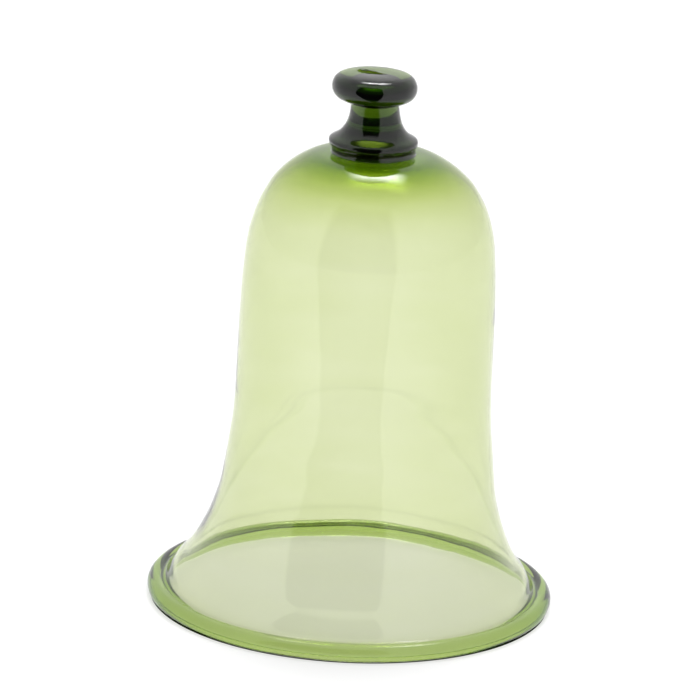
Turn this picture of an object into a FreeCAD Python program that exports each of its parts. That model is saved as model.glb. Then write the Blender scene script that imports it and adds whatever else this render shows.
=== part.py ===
# Hand-blown glass garden bell (cloche): a flared bell of thin glass with a
# heavy crown, a round bead wound on the skirt's edge, and a solid glass knob
# built up in separate gathers on the crown. All pieces are bodies of
# revolution about +Z, fused to each other face to face.
# Frame: +Z up, origin on the axis at the level of the ground face.
# Units: millimetres.
import FreeCAD, Part
import math
import os

V = FreeCAD.Vector

# ---------------------------------------------------------------- dimensions
rim_radius = 140.0          # outside radius of the edge bead
bead_radius = 6.2           # radius of the bead's round section
bead_flat_drop = 0.3        # how far the bead's underside is ground flat
wall_thickness = 2.5        # glass on the body and the skirt
crown_thickness = 4.6       # glass on the axis, under the knob
total_height = 374.4        # ground face to the top of the knob

# bell, outside, from the bead up to the crown: (radius, height)
weld_top = (128.55, 8.90)   # where the outer skin runs into the bead
bell_outer = [
    (126.55, 12.0), (124.25, 17.0), (121.60, 21.5), (118.50, 25.6),
    (115.20, 29.4), (112.20, 34.0), (109.90, 38.0), (107.80, 42.2),
    (105.20, 47.8), (102.60, 54.0), (99.80, 62.0), (97.40, 70.0),
    (95.40, 78.0), (93.50, 90.0), (91.90, 102.0), (90.55, 114.0),
    (89.20, 126.0), (88.35, 138.0), (87.85, 150.0), (87.63, 166.0),
    (87.54, 182.0), (87.40, 198.0), (87.00, 214.0), (86.40, 232.0),
    (85.30, 248.0), (84.10, 258.0), (82.00, 268.0), (79.40, 276.6),
    (76.40, 284.0), (73.20, 290.0), (69.30, 296.2), (64.60, 301.6),
    (59.90, 305.9), (54.60, 309.9), (48.20, 313.8), (42.40, 316.4),
    (36.00, 318.0),
]
seat_edge = (29.10, 318.80)     # where the crown ring's foot meets the bell
crown_top_z = seat_edge[1]      # the outer skin is level under the ring
crown_under_flat_radius = 15.0  # level part of the inner skin, on the axis

# bell glass thickness along the outer skin: (height of the outer skin, mm)
thickness_table = [
    (8.9, 3.3), (12.0, 2.9), (20.0, 2.6), (40.0, 2.5), (150.0, 2.5),
    (230.0, 2.5), (262.0, 2.6), (276.0, 2.8), (290.0, 3.2), (299.0, 3.7),
    (305.0, 4.2), (309.9, 4.6), (313.8, 4.9), (316.4, 5.0), (319.2, 5.0),
]

# crown ring: the first gather, a short disc between the bell and the stem
ring_radius = 29.0
ring_top = 324.2

# stem: rounded collar, then a concave flare up to the waist
collar_radius = 30.4
collar_low = 325.6          # lower tangent of the collar's rounded edge
stem_flare = [
    (29.55, 328.75), (28.10, 329.75), (26.70, 330.55), (24.40, 332.05),
    (22.30, 334.05), (20.75, 336.1), (19.55, 338.1), (18.65, 340.2),
    (17.95, 342.3), (17.35, 344.8), (16.90, 347.6), (16.60, 350.4),
]
stem_top = (16.55, 353.2)   # crease where the head sits on the stem

# head: flattened mushroom, from the crease round to the top
head_side = [
    (18.95, 354.1), (23.30, 355.95), (26.60, 358.15), (28.35, 360.9),
    (29.00, 364.1), (28.55, 367.3), (27.20, 370.05), (24.90, 372.15),
    (21.60, 373.45), (16.80, 374.15),
]
head_flat_radius = 10.0     # level part of the head's top

# punty mark: small folds of glass left where the finishing iron came off,
# each (x, y, z of the centre, length, width, height, turn about Z in deg)
punty_folds = [
    (-9.6, -1.4, 374.35, 8.4, 4.2, 2.9, 24.0),
    (-5.4, 0.6, 374.55, 7.6, 2.6, 2.1, -32.0),
    (2.2, -1.6, 374.30, 11.0, 2.0, 1.5, -6.0),
]

os.makedirs("parts", exist_ok=True)


# ------------------------------------------------------------------ helpers
def at(p):
    return V(p[0], 0, p[1])


def spline(points, start_dir=None, end_dir=None):
    """Smooth curve through (radius, height) points, as one edge."""
    curve = Part.BSplineCurve()
    pts = [at(p) for p in points]
    if start_dir is not None and end_dir is not None:
        curve.interpolate(pts, InitialTangent=V(start_dir[0], 0, start_dir[1]),
                          FinalTangent=V(end_dir[0], 0, end_dir[1]))
    else:
        curve.interpolate(pts)
    return curve.toShape()


def line(a, b):
    return Part.LineSegment(at(a), at(b)).toShape()


def arc(a, mid, b):
    return Part.Arc(at(a), at(mid), at(b)).toShape()


def stretch(curve, u0, u1, spans=1):
    """Copies of a curve between two parameters, cut into equal spans."""
    edges = []
    for i in range(spans):
        a = u0 + (u1 - u0) * i / float(spans)
        b = u0 + (u1 - u0) * (i + 1) / float(spans)
        piece = curve.copy()
        piece.segment(a, b)
        edges.append(piece.toShape())
    return edges


def turn(edges):
    """Solid of revolution about Z of the closed outline made by edges, which
    follow each other head to tail. Ends on the axis are level lines, so every
    pole is a flat disc."""
    wire = Part.Wire(edges)
    face = Part.Face(wire)
    solid = face.revolve(V(0, 0, 0), V(0, 0, 1), 360)
    if solid.ShapeType != "Solid":
        solid = Part.Solid(Part.Shell(solid.Faces))
    solid = solid.copy()
    if solid.Volume < 0:
        solid.reverse()
    return solid


def table(tab, x):
    if x <= tab[0][0]:
        return tab[0][1]
    for (x0, y0), (x1, y1) in zip(tab, tab[1:]):
        if x <= x1:
            return y0 + (y1 - y0) * (x - x0) / (x1 - x0)
    return tab[-1][1]


def save(name, shape):
    assert shape.isValid(), name
    shape.exportStep("parts/%s.step" % name)
    b = shape.BoundBox
    print("%-12s vol %10.1f mm3  box %.2f %.2f %.2f .. %.2f %.2f %.2f" % (
        name, shape.Volume, b.XMin, b.YMin, b.ZMin, b.XMax, b.YMax, b.ZMax))


# ---------------------------------------------------------------- rim bead
bead_centre = (rim_radius - bead_radius, bead_radius - bead_flat_drop)
half_flat = math.sqrt(bead_radius ** 2 - bead_centre[1] ** 2)


def on_bead(angle_deg):
    a = math.radians(angle_deg)
    return (bead_centre[0] + bead_radius * math.cos(a),
            bead_centre[1] + bead_radius * math.sin(a))


def bead_angle(p):
    return math.degrees(math.atan2(p[1] - bead_centre[1], p[0] - bead_centre[0]))


weld_hi_angle = bead_angle(weld_top)          # outer skin meets the bead
weld_lo_angle = 189.0                         # inner skin meets the bead
w_hi = on_bead(weld_hi_angle)
w_lo = on_bead(weld_lo_angle)
flat_in = (bead_centre[0] - half_flat, 0.0)
flat_out = (bead_centre[0] + half_flat, 0.0)
flat_in_angle = bead_angle(flat_in) + 360.0
flat_out_angle = bead_angle(flat_out) + 360.0

rim_bead = turn([
    line(flat_in, flat_out),
    arc(flat_out, on_bead((flat_out_angle + 360.0 + weld_hi_angle) / 2.0), w_hi),
    arc(w_hi, on_bead((weld_hi_angle + weld_lo_angle) / 2.0), w_lo),
    arc(w_lo, on_bead((weld_lo_angle + flat_in_angle) / 2.0), flat_in),
])
save("rim_bead", rim_bead)

# --------------------------------------------------------------------- bell
crown_axis = (0.0, crown_top_z)
skin = spline([w_hi] + bell_outer + [seat_edge], (-0.45, 1.0), (-1.0, 0.09))

# inner skin: the outer skin moved in along its normal by the local thickness
curve = skin.Curve
inner_pts = []
first, last = skin.ParameterRange
samples = [curve.parameter(at(p)) for p in
           [(125.4, 14.5)] + bell_outer[1:] + [seat_edge]]
for u in samples:
    p = curve.value(u)
    t = curve.tangent(u)[0]
    if t.z < 0:
        t = V(-t.x, 0, -t.z)
    if abs(t.z) < 0.2 and t.x > 0:
        t = V(-t.x, 0, -t.z)
    n = V(-abs(t.z), 0, -abs(t.x))
    n.normalize()
    th = table(thickness_table, p.z)
    inner_pts.append((p.x + n.x * th, p.z + n.z * th))
under_z = crown_top_z - crown_thickness
under_flat = (crown_under_flat_radius, under_z)
inner_pts = [w_lo, (125.55, 8.6)] + inner_pts + [(22.3, under_z - 0.09), under_flat]
inner = spline(inner_pts, (-1.0, 1.3), (-1.0, 0.0))

# the seat of the crown ring is one level disc
bell = turn(stretch(curve, first, last, 8) + [
    line(seat_edge, crown_axis),
    line(crown_axis, (0.0, under_z)),
    line((0.0, under_z), under_flat),
] + stretch(inner.Curve, inner.FirstParameter, inner.LastParameter, 8)[::-1] + [
    arc(w_lo, on_bead((weld_hi_angle + weld_lo_angle) / 2.0), w_hi),
])
save("bell", bell)

# -------------------------------------------------------------- crown ring
# It stands on the bell's level seat; a small outward foot at the bottom is
# where the soft gather spread on the bell.
ring_foot = [seat_edge, (28.72, 319.35), (28.55, 320.3), (28.62, 322.2),
             (28.90, 323.5), (ring_radius, ring_top)]
crown_ring = turn([
    line(seat_edge, crown_axis),
    line(crown_axis, (0.0, ring_top)),
    line((0.0, ring_top), (ring_radius, ring_top)),
    spline(ring_foot),
])
save("crown_ring", crown_ring)

# --------------------------------------------------------------- knob stem
stem_side = spline([(ring_radius, ring_top), (29.85, 324.55), (30.32, collar_low),
                    (collar_radius, 326.9), (30.18, 327.95)] + stem_flare + [stem_top])
knob_stem = turn([
    line((0.0, ring_top), (ring_radius, ring_top)),
    stem_side,
    line(stem_top, (0.0, stem_top[1])),
    line((0.0, stem_top[1]), (0.0, ring_top)),
])
save("knob_stem", knob_stem)

# --------------------------------------------------------------- knob head
head_flat = (head_flat_radius, total_height)
head_curve = spline([stem_top] + head_side + [head_flat], (1.0, 0.28), (-1.0, 0.0))
knob_head = turn([
    line((0.0, stem_top[1]), stem_top),
    head_curve,
    line(head_flat, (0.0, total_height)),
    line((0.0, total_height), (0.0, stem_top[1])),
])

# -------------------------------------------------------------- punty mark
# Low folds of glass standing on the head's top; the head is cut to their
# footprint so that the two pieces meet face to face.
folds = None
for (x, y, z, length, width, height, deg) in punty_folds:
    ball = Part.makeSphere(1.0)
    m = FreeCAD.Matrix()
    m.scale(length / 2.0, width / 2.0, height / 2.0)
    m.rotateZ(math.radians(deg))
    m.move(V(x, y, z))
    lump = ball.transformGeometry(m)
    folds = lump if folds is None else folds.fuse(lump)
punty_mark = folds.cut(knob_head)
punty_mark = Part.makeCompound([s for s in punty_mark.Solids if s.Volume > 0.5])
save("knob_head", knob_head)
save("punty_mark", punty_mark)

print("head top z", total_height, "overall", 2 * rim_radius)
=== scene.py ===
import bpy
import bmesh
import math
import numpy as np
from mathutils import Matrix, Vector, noise


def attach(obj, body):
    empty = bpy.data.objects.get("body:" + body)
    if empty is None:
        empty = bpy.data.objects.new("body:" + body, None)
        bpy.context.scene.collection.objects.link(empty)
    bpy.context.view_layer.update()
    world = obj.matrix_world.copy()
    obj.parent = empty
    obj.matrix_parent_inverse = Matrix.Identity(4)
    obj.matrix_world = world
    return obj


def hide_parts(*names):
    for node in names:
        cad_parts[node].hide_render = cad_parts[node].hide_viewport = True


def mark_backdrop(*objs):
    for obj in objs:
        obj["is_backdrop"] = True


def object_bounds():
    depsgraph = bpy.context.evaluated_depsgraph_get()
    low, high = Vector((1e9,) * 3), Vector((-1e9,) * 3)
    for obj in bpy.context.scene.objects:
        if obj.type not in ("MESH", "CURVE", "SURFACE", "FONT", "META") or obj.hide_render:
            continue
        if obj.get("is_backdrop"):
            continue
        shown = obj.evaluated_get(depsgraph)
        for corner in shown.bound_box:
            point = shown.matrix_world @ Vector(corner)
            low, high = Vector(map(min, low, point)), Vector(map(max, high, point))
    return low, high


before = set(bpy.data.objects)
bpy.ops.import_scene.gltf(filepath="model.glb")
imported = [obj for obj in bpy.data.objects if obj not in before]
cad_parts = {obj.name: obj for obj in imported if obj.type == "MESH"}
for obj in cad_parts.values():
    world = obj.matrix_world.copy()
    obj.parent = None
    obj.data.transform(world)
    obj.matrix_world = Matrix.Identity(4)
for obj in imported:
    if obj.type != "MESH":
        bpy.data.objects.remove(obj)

cad_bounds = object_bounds()
MM = 0.001

# ------------------------------------------------------------------ camera
f_px, elev, dist, roll = 6000.0, math.radians(19.0), 4165.558, math.radians(2.75)
tx, tz = -7.6356, 177.9295
C = np.array([0.0, -dist * math.cos(elev), dist * math.sin(elev)])
T = np.array([tx, 0.0, tz])
fwd = (T - C) / np.linalg.norm(T - C)
rt = np.cross(fwd, [0, 0, 1]); rt /= np.linalg.norm(rt)
up = np.cross(rt, fwd)
r2 = math.cos(roll) * rt + math.sin(roll) * up
u2 = -math.sin(roll) * rt + math.cos(roll) * up
cam = bpy.data.cameras.new("camera")
cam.sensor_width = 36.0
cam.lens = f_px * 36.0 / 700.0
cam.clip_end = 200.0
cam_ob = bpy.data.objects.new("camera", cam)
bpy.context.scene.collection.objects.link(cam_ob)
m = Matrix.Identity(4)
for i in range(3):
    m[i][0], m[i][1], m[i][2], m[i][3] = r2[i], u2[i], -fwd[i], C[i] * MM
cam_ob.matrix_world = m
bpy.context.scene.camera = cam_ob

# ------------------------------------------------- profiles, in millimetres
RIM_R, BEAD_R, FLAT = 140.0, 6.2, 0.3
WELD = 0.04              # how far fused pieces reach into each other
BELL_OUT = [
    (126.55, 12.0), (124.25, 17.0), (121.60, 21.5), (118.50, 25.6),
    (115.20, 29.4), (112.20, 34.0), (109.90, 38.0), (107.80, 42.2),
    (105.20, 47.8), (102.60, 54.0), (99.80, 62.0), (97.40, 70.0),
    (95.40, 78.0), (93.50, 90.0), (91.90, 102.0), (90.55, 114.0),
    (89.20, 126.0), (88.35, 138.0), (87.85, 150.0), (87.63, 166.0),
    (87.54, 182.0), (87.40, 198.0), (87.00, 214.0), (86.40, 232.0),
    (85.30, 248.0), (84.10, 258.0), (82.00, 268.0), (79.40, 276.6),
    (76.40, 284.0), (73.20, 290.0), (69.30, 296.2), (64.60, 301.6),
    (59.90, 305.9), (54.60, 309.9), (48.20, 313.8), (42.40, 316.4),
    (36.00, 318.0),
]
SEAT = (29.10, 318.80)
CROWN_Z, CROWN_T = 318.80, 4.6
THICK = [
    (8.9, 3.3), (12.0, 2.9), (20.0, 2.6), (40.0, 2.5), (150.0, 2.5),
    (230.0, 2.5), (262.0, 2.6), (276.0, 2.8), (290.0, 3.2), (299.0, 3.7),
    (305.0, 4.2), (309.9, 4.6), (313.8, 4.9), (316.4, 5.0), (319.2, 5.0),
]
RING_R, RING_TOP = 29.0, 324.2
STEM_SIDE = [
    (29.0, 324.2), (29.85, 324.55), (30.32, 325.6), (30.4, 326.9), (30.18, 327.95),
    (29.55, 328.75), (28.10, 329.75), (26.70, 330.55), (24.40, 332.05),
    (22.30, 334.05), (20.75, 336.1), (19.55, 338.1), (18.65, 340.2),
    (17.95, 342.3), (17.35, 344.8), (16.90, 347.6), (16.60, 350.4), (16.55, 353.2),
]
HEAD_SIDE = [
    (16.55, 353.2), (18.95, 354.1), (23.30, 355.95), (26.60, 358.15), (28.35, 360.9),
    (29.00, 364.1), (28.55, 367.3), (27.20, 370.05), (24.90, 372.15),
    (21.60, 373.45), (16.80, 374.15), (10.0, 374.4),
]
# the bell was blown by hand: its axis wanders sideways by a few millimetres
SWAY_Z = [0.0, 14.0, 55.0, 95.0, 170.0, 240.0, 295.0, 318.0, 326.0, 344.0, 366.0, 380.0]
SWAY_X = [-0.5, -0.3, 1.2, 2.3, 2.8, 3.2, 3.3, 1.9, 1.4, 1.6, 0.5, 0.4]


def cubic(points, d0=None, d1=None):
    """Cubic spline through points, by chord length; returns f(t), knots."""
    p = np.array(points, float)
    t = np.concatenate([[0], np.cumsum(np.linalg.norm(np.diff(p, axis=0), axis=1))])
    n = len(p)
    h = np.diff(t)
    A = np.zeros((n, n)); B = np.zeros((n, 2))
    for i in range(1, n - 1):
        A[i, i - 1], A[i, i], A[i, i + 1] = h[i - 1], 2 * (h[i - 1] + h[i]), h[i]
        B[i] = 6 * ((p[i + 1] - p[i]) / h[i] - (p[i] - p[i - 1]) / h[i - 1])
    if d0 is None:
        A[0, 0] = 1
    else:
        d0 = np.array(d0, float) / np.linalg.norm(d0)
        A[0, 0], A[0, 1] = 2 * h[0], h[0]
        B[0] = 6 * ((p[1] - p[0]) / h[0] - d0)
    if d1 is None:
        A[-1, -1] = 1
    else:
        d1 = np.array(d1, float) / np.linalg.norm(d1)
        A[-1, -1], A[-1, -2] = 2 * h[-1], h[-1]
        B[-1] = 6 * (d1 - (p[-1] - p[-2]) / h[-1])
    M = np.linalg.solve(A, B)

    def f(x):
        x = np.atleast_1d(np.asarray(x, float))
        i = np.clip(np.searchsorted(t, x) - 1, 0, n - 2)
        a, b = (t[i + 1] - x)[:, None], (x - t[i])[:, None]
        hh = h[i][:, None]
        return (M[i] * a ** 3 + M[i + 1] * b ** 3) / (6 * hh) + \
            (p[i] / hh - M[i] * hh / 6) * a + (p[i + 1] / hh - M[i + 1] * hh / 6) * b
    return f, t


def run(points, step, d0=None, d1=None):
    f, t = cubic(points, d0, d1)
    n = max(2, int(round(t[-1] / step)))
    return f(np.linspace(0, t[-1], n + 1))


sway_f, _ = None, None


def sway(z):
    z = np.asarray(z, float)
    k = np.clip(np.searchsorted(SWAY_Z, z) - 1, 0, len(SWAY_Z) - 2)
    zz, xx = np.array(SWAY_Z), np.array(SWAY_X)
    sl = np.gradient(xx, zz)
    h = zz[k + 1] - zz[k]
    s = np.clip((z - zz[k]) / h, 0, 1)
    return ((2 * s ** 3 - 3 * s ** 2 + 1) * xx[k] + (s ** 3 - 2 * s ** 2 + s) * h * sl[k]
            + (-2 * s ** 3 + 3 * s ** 2) * xx[k + 1] + (s ** 3 - s ** 2) * h * sl[k + 1])


def revolve(name, prof, weld, segs, shape=None):
    """Closed solid of revolution. prof is a list of (r, z) head to tail; both
    ends lie on the axis, or the outline is a closed loop. weld says for each
    stretch of prof whether it is a fused seam inside the glass."""
    prof = np.array(prof, float)
    loop = prof[0][0] > 1e-6
    n = len(prof)
    phi = np.linspace(0, 2 * math.pi, segs, endpoint=False)
    bm = bmesh.new()
    rows = []
    for i, (r, z) in enumerate(prof):
        if r < 1e-6:
            rows.append([bm.verts.new((float(sway(z)) * MM, 0, z * MM))])
            continue
        rr = np.full(segs, r); zz = np.full(segs, z)
        if shape is not None:
            rr, zz = shape(i, rr, zz, phi)
        sx = sway(zz)
        rows.append([bm.verts.new(((rr[k] * math.cos(phi[k]) + sx[k]) * MM,
                                   rr[k] * math.sin(phi[k]) * MM, zz[k] * MM))
                     for k in range(segs)])
    lay = bm.faces.layers.float.new("weld")
    for i in range(n if loop else n - 1):
        a, b = rows[i], rows[(i + 1) % n]
        for k in range(segs):
            j = (k + 1) % segs
            if len(a) == 1:
                fc = bm.faces.new((a[0], b[k], b[j]))
            elif len(b) == 1:
                fc = bm.faces.new((a[k], b[0], a[j]))
            else:
                fc = bm.faces.new((a[k], b[k], b[j], a[j]))
            fc.smooth = True
            fc[lay] = 1.0 if weld[i] else 0.0
    bmesh.ops.recalc_face_normals(bm, faces=bm.faces)
    # creases between a seam and the polished skin stay sharp
    for e in bm.edges:
        if len(e.link_faces) == 2:
            w = [fc[lay] for fc in e.link_faces]
            if w[0] != w[1] or e.calc_face_angle(0.0) > math.radians(38):
                e.smooth = False
    me = bpy.data.meshes.new(name)
    bm.to_mesh(me); bm.free()
    if me.polygons:
        vol = 0.0
        me.calc_loop_triangles()
        v = np.zeros(len(me.vertices) * 3); me.vertices.foreach_get("co", v); v = v.reshape(-1, 3)
        tri = np.zeros(len(me.loop_triangles) * 3, int); me.loop_triangles.foreach_get("vertices", tri)
        tri = tri.reshape(-1, 3)
        vol = np.einsum("ij,ij->i", v[tri[:, 0]], np.cross(v[tri[:, 1]], v[tri[:, 2]])).sum() / 6
        if vol < 0:
            me.flip_normals()
    ob = bpy.data.objects.new(name, me)
    bpy.context.scene.collection.objects.link(ob)
    return ob


# ---------------------------------------------------------------- materials
SIGMA = (82.0, 67.0, 162.0)      # absorption of the green glass, per metre
DEEP = (78.0, 48.0, 250.0)       # the same for the second gather in the crown


# the crown was gathered twice, so its glass is a deeper green than the walls:
# (radius in mm, how many mm of extra green it is worth)
CROWN_DEEP = [(29.0, 15.0), (42.0, 13.0), (46.0, 10.0), (50.0, 7.2), (54.0, 5.0),
              (60.0, 2.8), (66.0, 1.3), (74.0, 0.4), (82.0, 0.0)]


def glass(name, wave=0.25, wave_scale=(9.0, 9.0, 30.0), smudge=0.02, seed=0.0,
          density=1.0, crown=False, sigma=SIGMA):
    mat = bpy.data.materials.new(name)
    mat.use_nodes = True
    nt = mat.node_tree
    for nd in list(nt.nodes):
        nt.nodes.remove(nd)
    N, L = nt.nodes.new, nt.links.new
    out = N("ShaderNodeOutputMaterial")
    bs = N("ShaderNodeBsdfPrincipled")
    bs.inputs["Base Color"].default_value = (1, 1, 1, 1)
    bs.inputs["Transmission Weight"].default_value = 1.0
    bs.inputs["IOR"].default_value = 1.5
    bs.inputs["Specular IOR Level"].default_value = 0.5
    tc = N("ShaderNodeTexCoord")
    mp = N("ShaderNodeMapping")
    mp.inputs["Location"].default_value = (seed, seed * 0.7, seed * 1.3)
    mp.inputs["Scale"].default_value = wave_scale
    L(tc.outputs["Object"], mp.inputs["Vector"])
    # slow ripples left by blowing and turning
    rip = N("ShaderNodeTexNoise")
    rip.inputs["Scale"].default_value = 1.0
    rip.inputs["Detail"].default_value = 2.0
    rip.inputs["Roughness"].default_value = 0.45
    rip.inputs["Distortion"].default_value = 0.6
    L(mp.outputs["Vector"], rip.inputs["Vector"])
    bump = N("ShaderNodeBump")
    bump.inputs["Strength"].default_value = wave
    bump.inputs["Distance"].default_value = 0.0008
    L(rip.outputs["Fac"], bump.inputs["Height"])
    L(bump.outputs["Normal"], bs.inputs["Normal"])
    # faint handling marks: patches that are a little less than mirror smooth
    sm = N("ShaderNodeTexNoise")
    sm.inputs["Scale"].default_value = 38.0
    sm.inputs["Detail"].default_value = 5.0
    L(tc.outputs["Object"], sm.inputs["Vector"])
    ramp = N("ShaderNodeMapRange")
    ramp.inputs["From Min"].default_value = 0.52
    ramp.inputs["From Max"].default_value = 0.80
    ramp.inputs["To Min"].default_value = 0.0
    ramp.inputs["To Max"].default_value = smudge
    L(sm.outputs["Fac"], ramp.inputs["Value"])
    L(ramp.outputs["Result"], bs.inputs["Roughness"])
    # cords: faint streaks of slightly deeper green drawn out round the form
    mp2 = N("ShaderNodeMapping")
    mp2.inputs["Scale"].default_value = (6.0, 6.0, 55.0)
    mp2.inputs["Rotation"].default_value = (0.10, -0.06, 0.0)
    L(tc.outputs["Object"], mp2.inputs["Vector"])
    st = N("ShaderNodeTexNoise")
    st.inputs["Scale"].default_value = 1.0
    st.inputs["Detail"].default_value = 3.0
    L(mp2.outputs["Vector"], st.inputs["Vector"])
    cr = N("ShaderNodeValToRGB")
    cr.color_ramp.elements[0].position = 0.35
    cr.color_ramp.elements[0].color = (0.985, 0.99, 0.965, 1)
    cr.color_ramp.elements[1].position = 0.65
    cr.color_ramp.elements[1].color = (1, 1, 1, 1)
    L(st.outputs["Fac"], cr.inputs["Fac"])
    if crown:
        sx = N("ShaderNodeSeparateXYZ")
        L(tc.outputs["Object"], sx.inputs["Vector"])
        cx = N("ShaderNodeCombineXYZ")
        off = N("ShaderNodeMath"); off.operation = "SUBTRACT"
        off.inputs[1].default_value = 0.0026
        L(sx.outputs["X"], off.inputs[0])
        L(off.outputs[0], cx.inputs["X"]); L(sx.outputs["Y"], cx.inputs["Y"])
        ln = N("ShaderNodeVectorMath"); ln.operation = "LENGTH"
        L(cx.outputs["Vector"], ln.inputs[0])
        mr = N("ShaderNodeMapRange")
        mr.inputs["From Min"].default_value = 0.0
        mr.inputs["From Max"].default_value = 0.1
        L(ln.outputs["Value"], mr.inputs["Value"])
        dr = N("ShaderNodeValToRGB")
        el = dr.color_ramp.elements
        for k, (r, ex) in enumerate(CROWN_DEEP):
            e = el[k] if k < 2 else el.new(r / 100.0)
            e.position = r / 100.0
            e.color = tuple(math.exp(-c * 0.001 * ex) for c in DEEP) + (1,)
        L(mr.outputs["Result"], dr.inputs["Fac"])
        # only above the shoulder: the skirt and the straight body stay pale
        up_ = N("ShaderNodeMapRange")
        up_.inputs["From Min"].default_value = 0.27
        up_.inputs["From Max"].default_value = 0.285
        L(sx.outputs["Z"], up_.inputs["Value"])
        m1 = N("ShaderNodeMix"); m1.data_type = "RGBA"
        m1.inputs[6].default_value = (1, 1, 1, 1)
        L(up_.outputs["Result"], m1.inputs[0]); L(dr.outputs["Color"], m1.inputs[7])
        m2 = N("ShaderNodeMix"); m2.data_type = "RGBA"; m2.blend_type = "MULTIPLY"
        m2.inputs[0].default_value = 1.0
        L(cr.outputs["Color"], m2.inputs[6]); L(m1.outputs[2], m2.inputs[7])
        L(m2.outputs[2], bs.inputs["Base Color"])
    else:
        L(cr.outputs["Color"], bs.inputs["Base Color"])
    # where two gathers are fused there is no surface inside the glass
    at = N("ShaderNodeAttribute")
    at.attribute_name = "weld"
    tr = N("ShaderNodeBsdfTransparent")
    mix = N("ShaderNodeMixShader")
    L(at.outputs["Fac"], mix.inputs["Fac"])
    L(bs.outputs["BSDF"], mix.inputs[1])
    L(tr.outputs["BSDF"], mix.inputs[2])
    L(mix.outputs["Shader"], out.inputs["Surface"])
    va = N("ShaderNodeVolumeAbsorption")
    dens = 160.0 * density
    va.inputs["Density"].default_value = dens
    va.inputs["Color"].default_value = tuple(1 - s / 160.0 for s in sigma) + (1,)
    L(va.outputs["Volume"], out.inputs["Volume"])
    return mat


m_bell = glass("bell_glass_green", 0.35, (9.0, 9.0, 26.0), 0.03, 1.3, 1.0, True)
m_bead = glass("bead_glass_green", 0.25, (14.0, 14.0, 20.0), 0.02, 4.1, 0.86, False, (72.0, 48.0, 205.0))
m_knob = glass("knob_glass_green", 0.16, (26.0, 26.0, 34.0), 0.03, 7.7, 1.20, False, (80.0, 62.0, 190.0))
m_punty = glass("punty_glass_green", 0.9, (300.0, 300.0, 300.0), 0.35, 2.9, 14.0)

# --------------------------------------------------------------------- bead
bc = (RIM_R - BEAD_R, BEAD_R - FLAT)
half = math.sqrt(BEAD_R ** 2 - bc[1] ** 2)
a_hi = 125.0             # the skirt turns out onto the bead in a small fillet
a_lo = 189.0
a_fi = math.degrees(math.atan2(-bc[1], -half)) + 360
a_fo = math.degrees(math.atan2(-bc[1], half))


def on_bead(a, r=BEAD_R):
    a = math.radians(a)
    return (bc[0] + r * math.cos(a), bc[1] + r * math.sin(a))


def arcs(a0, a1, n, r=BEAD_R):
    return [on_bead(a0 + (a1 - a0) * i / n, r) for i in range(n)]


outer = arcs(a_fo, a_hi, 44)
weldp = arcs(a_hi, a_lo, 8)
inner = arcs(a_lo, a_fi, 14)
flat = [(bc[0] - half + 2 * half * i / 3, 0.0) for i in range(3)]
prof = outer + weldp + inner + flat
weld = [False] * len(outer) + [True] * len(weldp) + [False] * (len(inner) + len(flat))


def bead_shape(i, r, z, phi):
    # the bead was wound by hand: its section swells a little round the rim
    g = 0.10 * np.sin(2 * phi + 0.6) + 0.07 * np.sin(5 * phi + 2.0) + 0.04 * np.sin(11 * phi)
    a = math.atan2(prof[i][1] - bc[1], prof[i][0] - bc[0])
    keep = 0.0 if (prof[i][1] < 0.02 or (i >= len(outer) and i <= len(outer) + len(weldp))) else 1.0
    keep *= max(0.0, min(1.0, (math.cos(a) + 0.9) / 1.2)) * min(1.0, prof[i][1] / 3.0)
    return r + (g - 0.2) * keep * math.cos(a), z + (g - 0.2) * keep * max(0.0, math.sin(a))


bead = revolve("rim_bead_glass", prof, weld, 384, bead_shape)
bead.data.materials.append(m_bead)

# --------------------------------------------------------------------- bell
w_hi, w_lo = on_bead(a_hi), on_bead(a_lo)
FOOT = [(128.75, 11.40), (127.10, 12.50), (125.75, 14.25)]
skin_pts = [w_hi] + FOOT + BELL_OUT[1:] + [SEAT]
f_skin, t_skin = cubic(skin_pts, (-1.0, 0.12), (-1.0, 0.09))


def thick(z):
    return np.interp(z, [a for a, b in THICK], [b for a, b in THICK])


in_pts = []
seat_i = len(skin_pts) - 1
for i in range(len(FOOT) + 1, len(t_skin)):
    t0 = t_skin[i]
    p = f_skin(t0)[0]
    t1 = min(t0, t_skin[-1] - 0.05)
    d = (f_skin(t1 + 0.05)[0] - f_skin(t1 - 0.05)[0]); d /= np.linalg.norm(d)
    nrm = np.array([-abs(d[1]), -abs(d[0])])
    in_pts.append(tuple(p + nrm * thick(p[1])))
in_pts = [w_lo, (125.55, 8.6), (122.85, 13.4)] + in_pts + [(22.3, CROWN_Z - CROWN_T - 0.09), (15.0, CROWN_Z - CROWN_T)]
f_in, t_in = cubic(in_pts, (-1.0, 1.3), (-1.0, 0.0))

n_a = 250
t_foot = t_skin[len(FOOT) + 1]
sk = [tuple(f_skin(t)[0]) for t in np.concatenate([
    np.linspace(0, t_foot, 25)[:-1], np.linspace(t_foot, t_skin[seat_i], n_a - 20)])]
seat = [(24.0, CROWN_Z), (16.0, CROWN_Z), (8.0, CROWN_Z)]
inn = [tuple(f_in(t)[0]) for t in np.linspace(t_in[-1], 0, n_a + 1)]
end = [on_bead(a_lo + (a_hi - a_lo) * i / 8, BEAD_R - WELD) for i in range(9)]
# outline from the axis under the crown, down the inner skin, across the weld,
# up the outer skin and over the seat back to the axis
prof_b = [(0.0, CROWN_Z - CROWN_T)] + inn + end + sk + seat + [(0.0, CROWN_Z)]
n_in, n_end, n_sk = len(inn), len(end), len(sk)
weld_b = ([False] * (1 + n_in - 1) + [True] * (n_end + 1) + [False] * (n_sk - 1)
          + [True] * (len(seat) + 1))
weld_b = weld_b[:len(prof_b) - 1]


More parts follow.
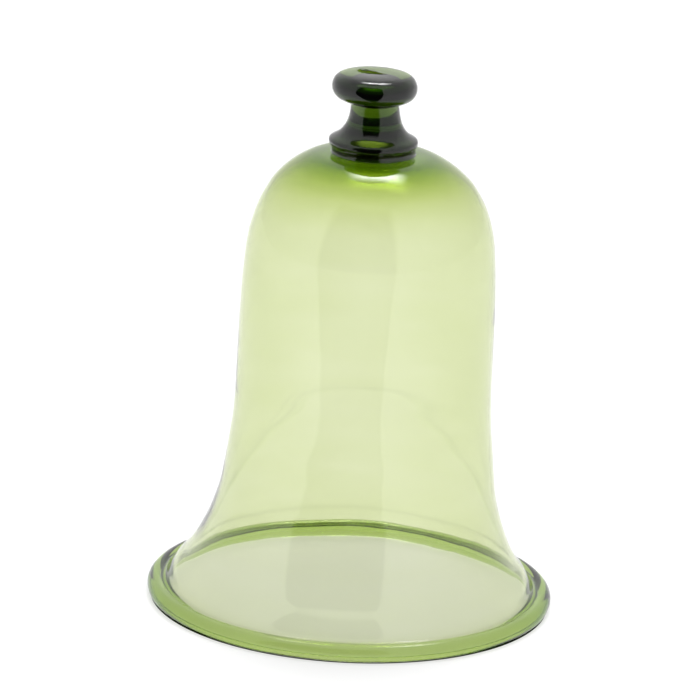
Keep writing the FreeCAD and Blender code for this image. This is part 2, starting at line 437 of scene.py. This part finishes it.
def bell_shape(i, r, z, phi):
    z0, r0 = prof_b[i][1], prof_b[i][0]
    k = min(1.0, max(0.0, (z0 - 14.0) / 40.0)) * min(1.0, max(0.0, (r0 - 34.0) / 22.0))
    w = (0.22 * np.sin(2 * phi + 0.8 + z0 * 0.006) + 0.14 * np.sin(3 * phi + 2.4 - z0 * 0.011)
         + 0.07 * np.sin(5 * phi + z0 * 0.02) + 0.05 * math.sin(z0 * 0.12 + 1.0))
    if i <= n_in:      # inner skin: the wall is not quite even
        w = w + 0.10 * np.sin(4 * phi - 1.1 + z0 * 0.015) + 0.06 * np.sin(7 * phi + z0 * 0.05)
    return r + w * k, z


bell = revolve("bell_glass", prof_b, weld_b, 320, bell_shape)
bell.data.materials.append(m_bell)

# --------------------------------------------------------------------- knob
foot = run([SEAT, (28.72, 319.35), (28.55, 320.3), (28.62, 322.2), (28.90, 323.5),
            (RING_R, RING_TOP)], 0.35)
low = [(r, z - WELD) for r, z in seat]
pr = [(0.0, CROWN_Z - WELD)] + low[::-1] + [(SEAT[0] - 0.03, SEAT[1] - WELD)] + [tuple(p) for p in foot] + [(0.0, RING_TOP)]
wl = [True] * (len(low) + 2) + [False] * (len(foot) - 1) + [True]
wl = wl[:len(pr) - 1]


def ring_shape(i, r, z, phi):
    k = 1.0 if 319.0 < pr[i][1] < 323.6 else 0.0
    return r + k * (0.12 * np.sin(3 * phi + 1.0) + 0.08 * np.sin(8 * phi) + 0.05 * np.sin(17 * phi + 2.0)), z


ring = revolve("crown_ring_glass", pr, wl, 256, ring_shape)
ring.data.materials.append(m_knob)

side = run(STEM_SIDE, 0.45)
ps = [(0.0, RING_TOP - WELD), (RING_R - 0.02, RING_TOP - WELD)] + [tuple(p) for p in side] + [(0.0, 353.2)]
ws = [True, True] + [False] * (len(side) - 1) + [True]


def stem_shape(i, r, z, phi):
    zc = ps[i][1]
    k = min(1.0, max(0.0, (zc - 324.4) / 2.0)) * min(1.0, max(0.0, (353.0 - zc) / 3.0))
    return r + k * (0.10 * np.sin(2 * phi + 0.3) + 0.06 * np.sin(3 * phi + zc * 0.2)), z


stem = revolve("knob_stem_glass", ps, ws, 256, stem_shape)
stem.data.materials.append(m_knob)

hs = run(HEAD_SIDE, 0.5, (1.0, 0.28), (-1.0, 0.0))
ph = [(0.0, 353.2 - WELD), (16.53, 353.2 - WELD)] + [tuple(p) for p in hs] + [(6.0, 374.4), (2.5, 374.4), (0.0, 374.4)]
wh = [True, True] + [False] * (len(ph) - 3)


def head_shape(i, r, z, phi):
    r0, z0 = ph[i]
    k = min(1.0, max(0.0, (z0 - 353.6) / 3.0))
    dr = k * (0.12 * np.sin(2 * phi + 1.9) + 0.07 * np.sin(3 * phi + 0.4)) * min(1.0, r0 / 20.0)
    # the top is a little hollow and uneven round the punty mark
    dz = 0.0
    if z0 > 373.0:
        x, y = r0 * np.cos(phi), r0 * np.sin(phi)
        dz = -0.28 * np.exp(-((x + 5.0) ** 2 + (y + 1.0) ** 2) / 60.0) - 0.10 * np.sin(x * 0.22 + 1.0) ** 2 * min(1.0, (z0 - 373.0))
    return r + dr, z + dz


head = revolve("knob_head_glass", ph, wh, 256, head_shape)
head.data.materials.append(m_knob)

# --------------------------------------------------------------- punty mark
def fold(bm, path, widths, heights, seed):
    """A ribbon of torn glass along a path, with a lumpy lens section."""
    pts = [Vector(p) for p in path]
    rows = []
    nseg = 14
    for i, p in enumerate(pts):
        a = pts[max(0, i - 1)]; b = pts[min(len(pts) - 1, i + 1)]
        t = (b - a).normalized()
        s = t.cross(Vector((0, 0, 1))).normalized()
        u = s.cross(t).normalized()
        row = []
        for k in range(nseg):
            an = 2 * math.pi * k / nseg
            j = 1 + 0.22 * noise.noise(Vector((p.x * 0.5 + seed, math.cos(an) * 1.3, math.sin(an) * 1.3 + i * 0.35)))
            sharp = abs(math.cos(an)) ** 1.4 * (1 if math.cos(an) > 0 else -1)
            row.append(bm.verts.new((p + s * sharp * widths[i] * j + u * math.sin(an) * heights[i] * j) * MM))
        rows.append(row)
    for a, b in zip(rows, rows[1:]):
        for k in range(nseg):
            bm.faces.new((a[k], a[(k + 1) % nseg], b[(k + 1) % nseg], b[k])).smooth = True
    for row in (rows[0], rows[-1]):
        c = sum((v.co for v in row), Vector()) / nseg
        v = bm.verts.new(c)
        for k in range(nseg):
            bm.faces.new((row[k], row[(k + 1) % nseg], v)).smooth = True


bm = bmesh.new()
SX = float(sway(374.0))
n = 18
path = []; wd = []; hg = []
for i in range(n):            # main fold: rises at the left and sweeps to the right
    s = i / (n - 1)
    path.append((SX - 12.2 + 8.0 * s, 3.6 + 1.2 * s, 374.30 + 0.62 * math.sin(math.pi * s)))
    e = math.sin(math.pi * min(1, max(0, 0.04 + 0.92 * s))) ** 0.6
    wd.append(1.25 * e); hg.append(0.85 * e)
fold(bm, path, wd, hg, 0.0)
path = []; wd = []; hg = []
for i in range(n):
    s = i / (n - 1)
    path.append((SX - 9.5 + 17.0 * s, 2.6 - 5.4 * s + 0.7 * math.sin(s * 5), 374.45 + 0.5 * math.sin(math.pi * s) * (1 - s)))
    e = math.sin(math.pi * min(1, max(0, 0.04 + 0.92 * s))) ** 0.6
    wd.append((1.25 - 0.55 * s) * e); hg.append((0.85 - 0.42 * s) * e)
fold(bm, path, wd, hg, 3.0)
bmesh.ops.recalc_face_normals(bm, faces=bm.faces)
lay = bm.faces.layers.float.new("weld")
me = bpy.data.meshes.new("punty_mark_glass")
bm.to_mesh(me); bm.free()
punty = bpy.data.objects.new("punty_mark_glass", me)
bpy.context.scene.collection.objects.link(punty)
punty.data.materials.append(m_punty)

for ob, node, slot in ((bell, "bell", "bell_glass"), (bead, "rim_bead", "bead_glass"),
                       (ring, "crown_ring", "knob_glass"), (stem, "knob_stem", "knob_glass"),
                       (head, "knob_head", "knob_glass"), (punty, "punty_mark", "punty_glass")):
    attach(ob, "root")
    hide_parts(node)

# -------------------------------------------------------------------- stage
def sheet_of_floor(name, a0, a1, n):
    """Part of the paper floor, a fan from a point just in front of the bell.
    Angles in degrees from the camera's side, + to the right."""
    far = 80.0
    vs = [(0.0, -0.22, -0.0002)]
    for i in range(n + 1):
        a = math.radians(a0 + (a1 - a0) * i / n)
        vs.append((far * math.sin(a), -0.22 - far * math.cos(a), -0.0002))
    me = bpy.data.meshes.new(name)
    me.from_pydata(vs, [], [(0, i, i + 1) for i in range(1, n + 1)])
    ob = bpy.data.objects.new(name, me)
    bpy.context.scene.collection.objects.link(ob)
    return ob


floor = sheet_of_floor("floor", 24.5, 309.0, 36)
floor_front = sheet_of_floor("floor_front", -51.0, 24.5, 10)
floor_front.visible_glossy = False      # a dark card keeps it out of the glass
fm = bpy.data.materials.new("floor_paper")
fm.use_nodes = True
fb = fm.node_tree.nodes["Principled BSDF"]
fb.inputs["Base Color"].default_value = (0.45, 0.45, 0.45, 1)
fb.inputs["Emission Color"].default_value = (1, 1, 1, 1)
fb.inputs["Emission Strength"].default_value = 0.60
fb.inputs["Roughness"].default_value = 1.0
fb.inputs["Specular IOR Level"].default_value = 0.0
floor.data.materials.append(fm)
floor_front.data.materials.append(fm)
# the shadow where the bead touches the paper
vs, fs = [], []
for i in range(180):
    a = 2 * math.pi * i / 180
    for r in (0.1357, 0.1378):
        vs.append((r * math.cos(a) - 0.0005, r * math.sin(a), -0.0001))
for i in range(180):
    j = (i + 1) % 180
    fs.append((2 * i, 2 * i + 1, 2 * j + 1, 2 * j))
me = bpy.data.meshes.new("contact_shadow")
me.from_pydata(vs, [], fs)
shade = bpy.data.objects.new("contact_shadow", me)
bpy.context.scene.collection.objects.link(shade)
cm = bpy.data.materials.new("contact_shadow")
cm.use_nodes = True
cb = cm.node_tree.nodes["Principled BSDF"]
cb.inputs["Base Color"].default_value = (0.015, 0.02, 0.012, 1)
cb.inputs["Roughness"].default_value = 1.0
cb.inputs["Specular IOR Level"].default_value = 0.0
shade.data.materials.append(cm)
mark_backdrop(floor, floor_front, shade)

# ----------------------------------------------------- soft studio surround
# Bright white surround, a dark gap on the camera's side, and one softbox
# overhead.
w = bpy.data.worlds.new("studio")
bpy.context.scene.world = w
w.use_nodes = True
nt = w.node_tree
for nd in list(nt.nodes):
    nt.nodes.remove(nd)
N, L = nt.nodes.new, nt.links.new
wo = N("ShaderNodeOutputWorld"); bg = N("ShaderNodeBackground")
tc = N("ShaderNodeTexCoord"); sep = N("ShaderNodeSeparateXYZ")
L(tc.outputs["Generated"], sep.inputs["Vector"])


def op(kind, a, b=None, c=None):
    nd = N("ShaderNodeMath"); nd.operation = kind
    for i, v in enumerate((a, b, c)):
        if v is None:
            continue
        if isinstance(v, (int, float)):
            nd.inputs[i].default_value = v
        else:
            L(v, nd.inputs[i])
    return nd.outputs[0]


def band(v, lo, hi, soft):
    a = N("ShaderNodeMapRange"); a.interpolation_type = "SMOOTHSTEP"
    a.inputs["From Min"].default_value = lo - soft; a.inputs["From Max"].default_value = lo + soft
    L(v, a.inputs["Value"])
    b = N("ShaderNodeMapRange"); b.interpolation_type = "SMOOTHSTEP"
    b.inputs["From Min"].default_value = hi - soft; b.inputs["From Max"].default_value = hi + soft
    b.inputs["To Min"].default_value = 1.0; b.inputs["To Max"].default_value = 0.0
    L(v, b.inputs["Value"])
    return op("MULTIPLY", a.outputs["Result"], b.outputs["Result"])


X, Y, Z = sep.outputs["X"], sep.outputs["Y"], sep.outputs["Z"]
az = op("MULTIPLY", op("ARCTAN2", X, op("MULTIPLY", Y, -1.0)), 180 / math.pi)   # 0 at the camera, + to the right
el = op("MULTIPLY", op("ARCSINE", Z), 180 / math.pi)
gap = op("MULTIPLY", band(az, -51.0, 24.5, 1.5), band(el, -90.0, 58.0, 6.0))
box_x = band(op("DIVIDE", X, Z), -0.17, 0.25, 0.12)
box_y = band(op("DIVIDE", Y, Z), 0.28, 0.60, 0.12)
boxm = op("MULTIPLY", op("MULTIPLY", box_x, box_y), op("GREATER_THAN", Z, 0.3))
lum = op("MULTIPLY_ADD", boxm, 16.0, op("MULTIPLY_ADD", gap, -0.97, 1.0))
L(lum, bg.inputs["Strength"])
bg.inputs["Color"].default_value = (1.0, 1.0, 1.0, 1)
L(bg.outputs["Background"], wo.inputs["Surface"])

sc = bpy.context.scene
sc.view_settings.view_transform = "Standard"
sc.view_settings.look = "None"
sc.cycles.max_bounces = 40
sc.cycles.transmission_bounces = 40
sc.cycles.glossy_bounces = 12
sc.cycles.diffuse_bounces = 3
sc.cycles.transparent_max_bounces = 24

visual_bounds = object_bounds()


def plain(b):
    if isinstance(b, dict):
        return {k: plain(v) for k, v in b.items()}
    if hasattr(b, "__len__"):
        return [plain(v) for v in b]
    return float(b)


{"cad": plain(cad_bounds), "visual": plain(visual_bounds)}
